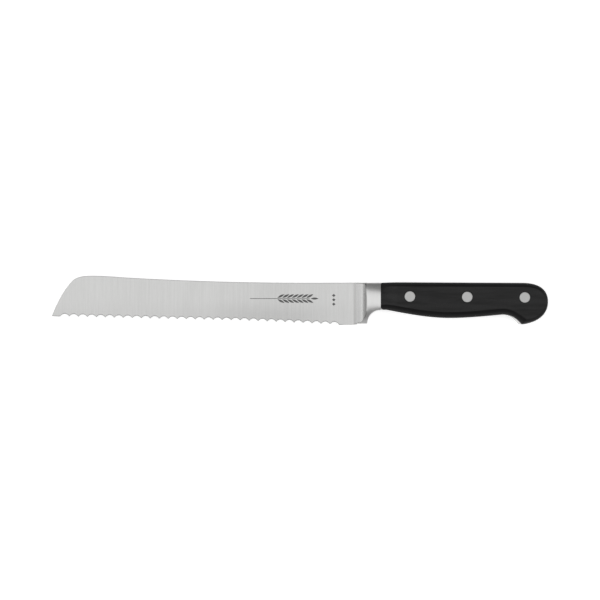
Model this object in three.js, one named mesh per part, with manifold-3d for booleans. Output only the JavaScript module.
// A forged bread knife with a 203 mm serrated blade, a full bolster, a full tang and two handle scales
// held by three two-piece rivets. Millimetres.
//
// The knife lies on its right side: +X runs from the tip to the butt, +Y from the cutting edge to the
// spine and +Z up through its thickness. The origin is the bottom centre of its box.
//
// Outlines are drawn on the knife's mid-plane. "along" is the distance back from the tip, "across" is the
// height above the bolster's top, so most of the knife is below zero, and "depth" is the distance from
// the mid-plane: positive towards the left side, which faces up.

import * as THREE from "three";
import { mergeVertices } from "three/addons/utils/BufferGeometryUtils.js";
import Module from "manifold-3d";

const { clamp, degToRad, inverseLerp, lerp, smoothstep } = THREE.MathUtils;
const wasm = await Module();
wasm.setup();

// ---- Driving dimensions ----------------------------------------------------------------------------

const LENGTH = 320;
const HALF_THICK = 9.25; // half of the handle's thickness
const TANG_HALF = 1.25;
const MID_ACROSS = -11.25; // the middle of the knife's height

// The blade's two flat sides: half of its thickness, and how that falls towards the tip and the edge.
const BLADE_HALF = 0.8;
const TAPER_ALONG = 0.002;
const TAPER_ACROSS = 0.02;

// The scallops, ground from the right side only by a round wheel.
const SCALLOPS = 31;
const SCALLOP_PITCH = 5.8;
const FIRST_SCALLOP = 5.6;
const LAST_SCALLOP = FIRST_SCALLOP + SCALLOPS * SCALLOP_PITCH;
const WHEEL_RADIUS = 7.3;
const GRIND_ANGLE = degToRad(19);
const EDGE_THICK = 0.06;
const BURR_DEPTH = 0.15; // the light pass on the left side that takes off the burr
const BURR_HEIGHT = 0.35;
const HEEL_BLUNT = 190; // behind this the edge has the blade's full thickness
const SHORTEST_GRIND = 0.02; // of the blade's height at a section
const LONGEST_GRIND = 0.9;

// The bolster: a hollow fillet rises from the blade to crowned sides with a foot at the heel.
const LAST_BLADE_RING = 193;
const FILLET_START = 194.9;
const FILLET_RADIUS = 9.6;
const BOLSTER_REAR = 212.25;
const BOLSTER_HALF_FRONT = 6;
const BOLSTER_HALF_REAR = 7.3;
const BOLSTER_TAPER_LENGTH = 10; // the sides widen over this length in front of the rear wall
const CROWN_MIDDLE = -11.6;
const CROWN_UP = 18; // where the crown would reach the mid-plane, above and below its middle
const CROWN_DOWN = 15;
const CROWN_POWER = 0.7;
const BOLSTER_TOP_ROUND = 1;
const NOTCH_TOP = -17.6;
const NOTCH_ROUND = 0.7;
const FOOT_ROUND_SHARE = 0.25; // what is left of the notch's rounding at the foot
const FOOT_LOW = -26; // it grows to the whole between these heights
const FOOT_HIGH = -21;
const MOST_ROUNDING = 0.6; // the most that rounding takes off the half thickness
const BURIED = 5; // the tang's front end, inside the bolster

// The handle scales: a flat outer face with rounded edges, and a facet that falls to the bolster.
const FACET_END = 222.5;
const SCALE_TOP_ROUND = 2.4;
const SCALE_LOW_ROUND = 3.85;
const SCALE_FRONT_ROUND = 3.3;
const ROUND_TILT = degToRad(18); // the rounding meets the flat face at this angle
const CORNER_TOP = 1.2; // rounded front corners of the scale's outline
const CORNER_LOW = 2.4;
const FRONT_EASE = 0.3;
const BACK_RISE = 0.3; // how far the handle's back stands above the bolster's top where the facet ends
const BUTT_STRAIGHT_END = 303;
const HOOK_START = 290.8;

// The rivets: a head with a solid shank, pressed into a head with a tubular shank.
const RIVETS = { front: [231, -8.9], middle: [267.9, -9.2], rear: [305, -9.5] };
const HEAD_RADIUS = 3.35;
const HEAD_THICK = 1.6;
const TUBE_RADIUS = 2.4;
const PIN_RADIUS = 1.6;
const RADIAL_GAP = 0.1;
const TUBE_END = -5.6;
const PIN_END = 4.6;
const BORE_END = 6;
const ROUND_SIDES = 32;

// ---- Outline curves --------------------------------------------------------------------------------

function bezier(points) {
  return new THREE.CubicBezierCurve(...points.map(([x, y]) => new THREE.Vector2(x, y)));
}

const SPINE = [
  bezier([[0, -21.4], [3.55, -12.9], [7.2, -5.4], [13.3, 1.2]]),
  bezier([[13.3, 1.2], [16.2, 4.15], [21.3, 4.48], [26.1, 4.48]]),
  bezier([[26.1, 4.48], [34.4, 4.48], [41.5, 3.68], [50.6, 3.15]]),
  bezier([[50.6, 3.15], [88.7, 1], [126.6, -0.1], [165, -0.1]]),
  bezier([[165, -0.1], [180, -0.1], [195, 0], [BOLSTER_REAR, 0]]),
];
const EDGE = [
  bezier([[0, -21.6], [35, -22.65], [70, -23.4], [104.2, -24.1]]),
  bezier([[104.2, -24.1], [142, -24.75], [176, -27.1], [192, -27.3]]),
  bezier([[192, -27.3], [194, -27.3], [199, -26.6], [203.6, -26.4]]),
];
const NOTCH = bezier([[203.6, -26.4], [203.75, -21.2], [207.4, NOTCH_TOP], [BOLSTER_REAR, NOTCH_TOP]]);
const BELLY = [
  bezier([[BOLSTER_REAR, NOTCH_TOP], [213.7, -17.6], [214.8, -17.4], [216, -17.5]]),
  bezier([[216, -17.5], [228.5, -19.85], [242.5, -22.75], [256.5, -22.75]]),
  bezier([[256.5, -22.75], [270, -22.75], [284.8, -21], [HOOK_START, -20.55]]),
];
const TANG_HOOK = bezier([[HOOK_START, -20.55], [293.2, -20.4], [297.2, -21.9], [301.3, -27.1]]);
const TANG_BACK = bezier([[301.3, -27.1], [307, -26.6], [LENGTH, -23.7], [LENGTH, -12.1]]);
const BUTT = bezier([[LENGTH, -12.1], [LENGTH, -7], [317.3, 0.15], [BUTT_STRAIGHT_END, -0.1]]);

// The scale's outline follows the tang's, apart from a hook that stands a little behind it, and its flat
// outer face has a hook, a back and a butt of its own.
const SCALE_HOOK = bezier([[HOOK_START, -20.55], [294.4, -20.3], [299.3, -21.9], [303.2, -26.9]]);
const SCALE_BACK = bezier([[303.2, -26.9], [308, -26.5], [LENGTH, -23.7], [LENGTH, -12.1]]);
const FACE_HOOK = bezier([[HOOK_START, -16.7], [295.6, -16.55], [300.3, -19.1], [306.3, -23.8]]);
const FACE_BACK = bezier([[306.3, -23.8], [311.6, -23], [318.2, -20.4], [318.2, -12.1]]);
const FACE_BUTT = bezier([[318.2, -12.1], [318.2, -6], [314.5, -2.7], [BUTT_STRAIGHT_END, -2.7]]);

// The point of a curve where a coordinate that rises along it reaches a value, found by halving.
function pointWhere(curve, coordinate, value) {
  const halvings = 40;
  let low = 0;
  let high = 1;
  for (let i = 0; i < halvings; i += 1) {
    const middle = (low + high) / 2;
    if (curve.getPoint(middle)[coordinate] < value) low = middle;
    else high = middle;
  }
  return curve.getPoint(low);
}

// The height of a chain of curves at a distance from the tip.
function heightAt(chain, along) {
  const curve = chain.find((c) => along <= c.v3.x) ?? chain[chain.length - 1];
  return pointWhere(curve, "x", along).y;
}

// The notch's distance from the tip at a height, and the rear wall's above it.
function notchAt(across) {
  return across >= NOTCH_TOP ? BOLSTER_REAR : pointWhere(NOTCH, "y", across).x;
}

// ---- Solids and meshes -----------------------------------------------------------------------------

function place(along, across, depth) {
  return [along - LENGTH / 2, across - MID_ACROSS, depth + HALF_THICK];
}

function geometryOf(triangles) {
  const positions = new Float32Array(triangles.flat(2));
  return new THREE.BufferGeometry().setAttribute("position", new THREE.BufferAttribute(positions, 3));
}

function solidOf(geometry) {
  const bare = geometry.clone();
  bare.deleteAttribute("normal");
  bare.deleteAttribute("uv");
  const merged = mergeVertices(bare, 1e-4);
  const triVerts = new Uint32Array(merged.index.array);
  const vertProperties = merged.attributes.position.array;
  return new wasm.Manifold(new wasm.Mesh({ numProp: 3, vertProperties, triVerts }));
}

function geometryFrom(solid) {
  const { vertProperties, triVerts } = solid.getMesh();
  const geometry = new THREE.BufferGeometry();
  geometry.setAttribute("position", new THREE.BufferAttribute(vertProperties, 3));
  geometry.setIndex(new THREE.BufferAttribute(triVerts, 1));
  const faceted = geometry.toNonIndexed();
  faceted.computeVertexNormals();
  return faceted;
}

const steps = (count) => Array.from({ length: count + 1 }, (_, i) => i / count);

function between([a, b], [c, d], share) {
  return [lerp(a, c, share), lerp(b, d, share)];
}

// The triangles that fill an outline, with each corner taken to its place in space.
function filled(outline, toSpace) {
  const corners = outline.map((point) => new THREE.Vector2(...point));
  return THREE.ShapeUtils.triangulateShape(corners, []).map((face) => face.map((i) => toSpace(outline[i])));
}

function reversed(triangles) {
  return triangles.map(([a, b, c]) => [a, c, b]);
}

// How far a quarter-round of this radius lowers a surface at a distance from its edge.
function rounded(distance, radius) {
  const inside = Math.max(0, radius - distance);
  return radius - Math.sqrt(radius * radius - inside * inside);
}

// ---- The forging: blade, bolster and tang ----------------------------------------------------------

function bladeHalf(along, across) {
  return BLADE_HALF + TAPER_ALONG * along + TAPER_ACROSS * across;
}

// How far a scallop cuts in above the line of the tooth points.
function scallopHeight(along) {
  if (along <= FIRST_SCALLOP || along >= LAST_SCALLOP) return 0;
  const half = SCALLOP_PITCH / 2;
  const offset = ((along - FIRST_SCALLOP) % SCALLOP_PITCH) - half;
  const cut = Math.sqrt(WHEEL_RADIUS ** 2 - offset ** 2) - Math.sqrt(WHEEL_RADIUS ** 2 - half ** 2);
  return cut / Math.sin(GRIND_ANGLE);
}

// One cross-section of the blade as a closed loop: up the left side, then down the right side. The key
// of a point says how far round the loop it is, so that loops of unlike length can be joined.
function bladeRing(along) {
  const top = heightAt(SPINE, along);
  const low = heightAt(EDGE, along) + scallopHeight(along);
  const blunt = smoothstep(along, LAST_SCALLOP, HEEL_BLUNT);
  const leftEdge = bladeHalf(along, low) - BURR_DEPTH * (1 - blunt);
  const rightEdge = lerp(leftEdge - EDGE_THICK, -bladeHalf(along, low), blunt);
  const ground = (across) => rightEdge - (across - low) * Math.tan(GRIND_ANGLE);
  const rightSide = (across) => Math.max(-bladeHalf(along, across), ground(across));
  const height = top - low;
  const burrTop = low + Math.min(BURR_HEIGHT, height / 3);
  const fullGrind = (rightEdge + bladeHalf(along, low)) / Math.tan(GRIND_ANGLE);
  const grindTop = low + clamp(fullGrind, height * SHORTEST_GRIND, height * LONGEST_GRIND);
  return [
    { key: 0, at: place(along, low, leftEdge) },
    { key: 0.02, at: place(along, burrTop, bladeHalf(along, burrTop)) },
    { key: 1, at: place(along, top, bladeHalf(along, top)) },
    { key: 2, at: place(along, top, rightSide(top)) },
    { key: 2.85, at: place(along, grindTop, rightSide(grindTop)) },
    { key: 3, at: place(along, low, rightEdge) },
  ];
}

function crown(across, middleHalf) {
  const reach = across > CROWN_MIDDLE ? CROWN_UP : CROWN_DOWN;
  const fraction = (across - CROWN_MIDDLE) / reach;
  return middleHalf * Math.max(0, 1 - fraction * fraction) ** CROWN_POWER;
}

// Where the fillet runs out on the bolster's crowned side.
function filletEnd(across) {
  const half = bladeHalf(FILLET_START, across);
  const rise = Math.max(0, crown(across, BOLSTER_HALF_FRONT) - half);
  return FILLET_START + Math.sqrt(rise * (2 * FILLET_RADIUS - rise));
}

const NOTCH_POINTS = NOTCH.getPoints(200);

function notchDistance(along, across) {
  const point = new THREE.Vector2(along, across);
  return Math.min(...NOTCH_POINTS.map((notchPoint) => notchPoint.distanceTo(point)));
}

// Half of the bolster's thickness at a point of its side. finish is 0 at the blade and 1 on the bolster.
function bolsterHalf(along, across, finish) {
  const flat = bladeHalf(along, across);
  const into = clamp(along - FILLET_START, 0, FILLET_RADIUS);
  const fillet = flat + FILLET_RADIUS - Math.sqrt(FILLET_RADIUS ** 2 - into ** 2);
  const taper = inverseLerp(BOLSTER_REAR - BOLSTER_TAPER_LENGTH, BOLSTER_REAR, along);
  const side = crown(across, lerp(BOLSTER_HALF_FRONT, BOLSTER_HALF_REAR, taper));
  const half = finish < 1 ? Math.max(flat, Math.min(fillet, side)) : Math.max(flat, side);
  const topRound = finish * rounded(-across, BOLSTER_TOP_ROUND);
  const foot = lerp(FOOT_ROUND_SHARE, 1, smoothstep(across, FOOT_LOW, FOOT_HIGH));
  const notchRound = finish * foot * rounded(notchDistance(along, across), NOTCH_ROUND);
  return half - Math.min(topRound + notchRound, half * MOST_ROUNDING);
}

// The heights of a bolster ring's points, from the bottom of the foot to the spine. They lie closer
// together where the section rounds over.
const SIDE_ROWS = [-17.4, -16.95, -16.3, -14.5, CROWN_MIDDLE, -9, -6.5, -4, -2.4, -1, -0.5, -0.13, 0];

function bolsterRows(low) {
  return [...steps(7).map((t) => lerp(low, NOTCH_TOP, t)), ...SIDE_ROWS];
}

function ringFrom(left) {
  const count = left.length - 1;
  const right = left.map(([along, across, depth]) => [along, across, -depth]).reverse();
  return [
    ...left.map((point, i) => ({ key: i / count, at: place(...point) })),
    ...right.map((point, i) => ({ key: 2 + i / count, at: place(...point) })),
  ];
}

// A ring of the fillet, from the flat of the blade, at 0, to the line where the fillet ends, at 1.
function filletRing(share) {
  const almost = 0.999;
  const low = heightAt(EDGE, lerp(LAST_BLADE_RING, FILLET_START, share));
  return ringFrom(bolsterRows(low).map((across) => {
    const along = lerp(LAST_BLADE_RING, filletEnd(across), share);
    return [along, across, bolsterHalf(along, across, share * almost)];
  }));
}

// A ring of the bolster's sides, from the fillet's end, at 0, to the rear wall and the finger notch, at 1.
function sideRing(share) {
  const heel = NOTCH.v0.x;
  const low = heightAt(EDGE, lerp(FILLET_START, heel, share));
  return ringFrom(bolsterRows(low).map((across) => {
    const along = lerp(filletEnd(across), notchAt(across), share);
    return [along, across, bolsterHalf(along, across, 1)];
  }));
}

// Triangles between two rings, stepping along whichever ring has the nearer next point.
function joinRings(a, b) {
  const closing = 4;
  const keys = (ring) => [...ring.map((point) => point.key), closing, Infinity];
  const [keysA, keysB] = [keys(a), keys(b)];
  const point = (ring, i) => ring[i % ring.length].at;
  const triangles = [];
  let i = 0;
  let j = 0;
  while (i < a.length || j < b.length) {
    if (keysA[i + 1] <= keysB[j + 1]) {
      triangles.push([point(a, i), point(b, j), point(a, i + 1)]);
      i += 1;
    } else {
      triangles.push([point(a, i), point(b, j), point(b, j + 1)]);
      j += 1;
    }
  }
  return triangles;
}

// Where the rings stand: along the blade in millimetres, and as shares of the way over the fillet and
// over the bolster's sides.
const RINGS_PER_SCALLOP = 6;
const TIP_RINGS = [0, 0.3, 0.9, 1.8, 2.9, 4.2];
const HEEL_RINGS = [186.6, 188, 189, HEEL_BLUNT];
const FILLET_RINGS = [0, 0.3, 0.5, 0.65, 0.75, 0.83, 0.9, 0.95, 1];
const SIDE_RINGS = [0.12, 0.3, 0.5, 0.7, 0.82, 0.9, 0.96, 1];

// The blade and bolster as one closed skin.
function bladeSolid() {
  const scallops = steps(SCALLOPS * RINGS_PER_SCALLOP).map((t) => lerp(FIRST_SCALLOP, LAST_SCALLOP, t));
  const rings = [
    ...[...TIP_RINGS, ...scallops, ...HEEL_RINGS].map(bladeRing),
    ...FILLET_RINGS.map(filletRing),
    ...SIDE_RINGS.map(sideRing),
  ];
  const triangles = rings.slice(1).flatMap((ring, i) => joinRings(rings[i], ring));
  const first = rings[0].map((point) => point.at);
  for (let i = 1; i + 1 < first.length; i += 1) {
    triangles.push([first[0], first[i], first[i + 1]]);
  }
  const last = rings[rings.length - 1].map((point) => point.at);
  const right = last.toReversed();
  for (let i = 0; i + 1 < last.length / 2; i += 1) {
    triangles.push([last[i], right[i], last[i + 1]], [last[i + 1], right[i], right[i + 1]]);
  }
  return solidOf(geometryOf(triangles));
}

// The tang is a plain plate. Its front end is buried in the bolster.
function tangSolid() {
  const pointsPerCurve = 9;
  const [top, low] = [-3, -14];
  const curves = [...BELLY, TANG_HOOK, TANG_BACK, BUTT];
  const outline = [
    [BOLSTER_REAR - BURIED, low],
    [BOLSTER_REAR, low],
    [BOLSTER_REAR, NOTCH_TOP],
    ...curves.flatMap((curve) => curve.getPoints(pointsPerCurve).slice(1).map((point) => point.toArray())),
    [FACET_END, BACK_RISE],
    [BOLSTER_REAR, 0],
    [BOLSTER_REAR, top],
    [BOLSTER_REAR - BURIED, top],
  ];
  const shape = new THREE.Shape(outline.map((point) => new THREE.Vector2(...place(...point, 0))));
  const plate = new THREE.ExtrudeGeometry(shape, { depth: 2 * TANG_HALF, bevelEnabled: false });
  plate.translate(0, 0, HALF_THICK - TANG_HALF);
  return solidOf(plate);
}

// ---- Rivets and their holes ------------------------------------------------------------------------

// A solid turned from a profile of [radius, depth] points about a rivet's axis.
function turned(profile, [along, across]) {
  const points = profile.map(([radius, depth]) => new THREE.Vector2(radius, depth));
  const geometry = new THREE.LatheGeometry(points, ROUND_SIDES);
  geometry.rotateX(Math.PI / 2);
  geometry.translate(...place(along, across, 0));
  return geometry;
}

function femaleRivet(centre) {
  const neck = HALF_THICK - HEAD_THICK;
  const bore = PIN_RADIUS + RADIAL_GAP;
  const profile = [[0, BORE_END], [bore, BORE_END], [bore, TUBE_END], [TUBE_RADIUS, TUBE_END]];
  profile.push([TUBE_RADIUS, neck], [HEAD_RADIUS, neck], [HEAD_RADIUS, HALF_THICK], [0, HALF_THICK]);
  return turned(profile, centre);
}

function maleRivet(centre) {
  const neck = HALF_THICK - HEAD_THICK;
  const profile = [[0, -HALF_THICK], [HEAD_RADIUS, -HALF_THICK], [HEAD_RADIUS, -neck]];
  profile.push([PIN_RADIUS, -neck], [PIN_RADIUS, PIN_END], [0, PIN_END]);
  return turned(profile, centre);
}

// The stepped hole that a rivet needs through both scales and the tang.
function rivetHole(centre) {
  const neck = HALF_THICK - HEAD_THICK;
  const [wide, narrow] = [HEAD_RADIUS + RADIAL_GAP, TUBE_RADIUS + RADIAL_GAP];
  const end = HALF_THICK + 1;
  const profile = [[0, -end], [wide, -end], [wide, -neck], [narrow, -neck]];
  profile.push([narrow, neck], [wide, neck], [wide, end], [0, end]);
  return solidOf(turned(profile, centre));
}

function withRivetHoles(solid) {
  return Object.values(RIVETS).reduce((cut, centre) => cut.subtract(rivetHole(centre)), solid);
}

// ---- Handle scales ---------------------------------------------------------------------------------

const FACET_LENGTH = FACET_END - BOLSTER_REAR;
const FACET_COLUMNS = [0, 0.3, 1, 2, 4, 6.5, FACET_LENGTH].map((offset) => BOLSTER_REAR + offset);
const FACET_ROWS = 8;
const BELLY_COLUMNS = 12;
const BEND_COLUMNS = 8;
const ROUNDING_ROWS = 5;

function facetPosition(along) {
  return clamp((along - BOLSTER_REAR) / FACET_LENGTH, 0, 1);
}

// The facet at the scale's front takes its section down to the bolster's.
function facetShare(along, across) {
  const front = (crown(across, BOLSTER_HALF_REAR) - TANG_HALF) / (HALF_THICK - TANG_HALF);
  return lerp(front, 1, facetPosition(along));
}

function frontPair(along, outer, inner) {
  return [[along, outer], [lerp(BOLSTER_REAR + FRONT_EASE, FACET_END, facetPosition(along)), inner]];
}

// Pairs of points round the scale: on its outline, and on the border of its outer face. They run from the
// front along the belly, round the hook and the butt and back along the top.
function scaleBorder() {
  const lowFront = FACET_COLUMNS.map((along) => {
    const low = heightAt(BELLY, along);
    const width = lerp(SCALE_FRONT_ROUND, SCALE_LOW_ROUND, facetPosition(along));
    return frontPair(along, low + rounded(along - BOLSTER_REAR, CORNER_LOW), low + width);
  });
  const belly = steps(BELLY_COLUMNS).slice(1).map((t) => {
    const along = lerp(FACET_END, HOOK_START, t);
    const low = heightAt(BELLY, along);
    return [[along, low], [along, low + SCALE_LOW_ROUND]];
  });
  const bends = [[SCALE_HOOK, FACE_HOOK], [SCALE_BACK, FACE_BACK], [BUTT, FACE_BUTT]];
  const rear = bends.flatMap(([outer, inner]) => {
    const shares = steps(BEND_COLUMNS).slice(1);
    return shares.map((t) => [outer.getPoint(t).toArray(), inner.getPoint(t).toArray()]);
  });
  const topFront = FACET_COLUMNS.toReversed().map((along) => {
    const top = BACK_RISE * facetPosition(along) - rounded(along - BOLSTER_REAR, CORNER_TOP);
    return frontPair(along, top, -SCALE_TOP_ROUND);
  });
  return [...lowFront, ...belly, ...rear, ...topFront];
}

// One row of the rounding between a scale's side and its flat face: how far in from the outline and how
// far below the face, as shares of the rounding's width. Its arc leaves both of them at ROUND_TILT.
function roundingRow(t) {
  const tilt = lerp(Math.PI / 2 - ROUND_TILT, ROUND_TILT, t);
  const span = Math.cos(ROUND_TILT) - Math.sin(ROUND_TILT);
  const inward = 1 - (Math.sin(tilt) - Math.sin(ROUND_TILT)) / span;
  const below = (Math.cos(ROUND_TILT) - Math.cos(tilt)) / span;
  return [inward, below];
}

// A band of triangles between two closed rows of points.
function band(lower, upper) {
  return lower.flatMap((a, i) => {
    const next = (i + 1) % lower.length;
    return [[a, lower[next], upper[next]], [a, upper[next], upper[i]]];
  });
}

// A scale for the left side, at +1, or the right side, at -1, before its rivet holes are cut.
function scaleSolid(side) {
  const border = scaleBorder();
  const [top, low] = [border[border.length - 1], border[0]];
  const front = steps(FACET_ROWS).slice(1, -1).map((t) => {
    return [between(top[0], low[0], t), between(top[1], low[1], t)];
  });
  const pairs = [...border, ...front];
  const outline = pairs.map((pair) => pair[0]);
  const raised = (point, depth) => {
    return place(...point, side * (TANG_HALF + (depth - TANG_HALF) * facetShare(...point)));
  };

  const roundings = steps(ROUNDING_ROWS).map(roundingRow).map(([inward, below]) => {
    return pairs.map(([outer, inner]) => {
      const width = Math.hypot(inner[0] - outer[0], inner[1] - outer[1]);
      return raised(between(outer, inner, inward), HALF_THICK - width * below);
    });
  });
  const rows = [outline.map((point) => raised(point, TANG_HALF)), ...roundings];
  const triangles = rows.slice(1).flatMap((row, i) => band(rows[i], row));

  // The facet is a grid, as it twists from the bolster's crown to the flat face behind it.
  const last = FACET_COLUMNS.length - 1;
  const facet = FACET_COLUMNS.map((_, i) => {
    const [lowEnd, topEnd] = [border[i][1], border[border.length - 1 - i][1]];
    return steps(FACET_ROWS).map((t) => between(lowEnd, topEnd, t));
  });
  for (let i = 0; i < last; i += 1) {
    for (let j = 0; j < FACET_ROWS; j += 1) {
      const corners = [facet[i][j], facet[i + 1][j], facet[i + 1][j + 1], facet[i][j + 1]];
      const [a, b, c, d] = corners.map((point) => raised(point, HALF_THICK));
      triangles.push([a, b, c], [a, c, d]);
    }
  }
  const behindFacet = border.slice(last, border.length - last).map((pair) => pair[1]);
  const face = [...behindFacet, ...facet[last].slice(1, -1).toReversed()];
  triangles.push(...filled(face, (point) => raised(point, HALF_THICK)));
  triangles.push(...reversed(filled(outline, (point) => raised(point, TANG_HALF))));
  return solidOf(geometryOf(side > 0 ? triangles : reversed(triangles)));
}

// ---- Materials -------------------------------------------------------------------------------------

function brushedSteel() {
  return new THREE.MeshStandardMaterial({ color: 0xc9c9c7, metalness: 1, roughness: 0.35 });
}

function blackPlastic() {
  return new THREE.MeshStandardMaterial({ color: 0x222323, metalness: 0, roughness: 0.55 });
}

function rivetMetal() {
  return new THREE.MeshStandardMaterial({ color: 0xb2b2b0, metalness: 1, roughness: 0.5 });
}

// ---- Assembly --------------------------------------------------------------------------------------

function piece(name, geometry, material) {
  const mesh = new THREE.Mesh(geometry, material);
  mesh.name = name;
  return mesh;
}

const knife = new THREE.Group();
const forging = withRivetHoles(bladeSolid().add(tangSolid()));
knife.add(piece("blade_and_tang", geometryFrom(forging), brushedSteel()));
knife.add(piece("left_scale", geometryFrom(withRivetHoles(scaleSolid(1))), blackPlastic()));
knife.add(piece("right_scale", geometryFrom(withRivetHoles(scaleSolid(-1))), blackPlastic()));
for (const [name, centre] of Object.entries(RIVETS)) {
  knife.add(piece(`${name}_rivet_female`, femaleRivet(centre), rivetMetal()));
  knife.add(piece(`${name}_rivet_male`, maleRivet(centre), rivetMetal()));
}

export default knife;
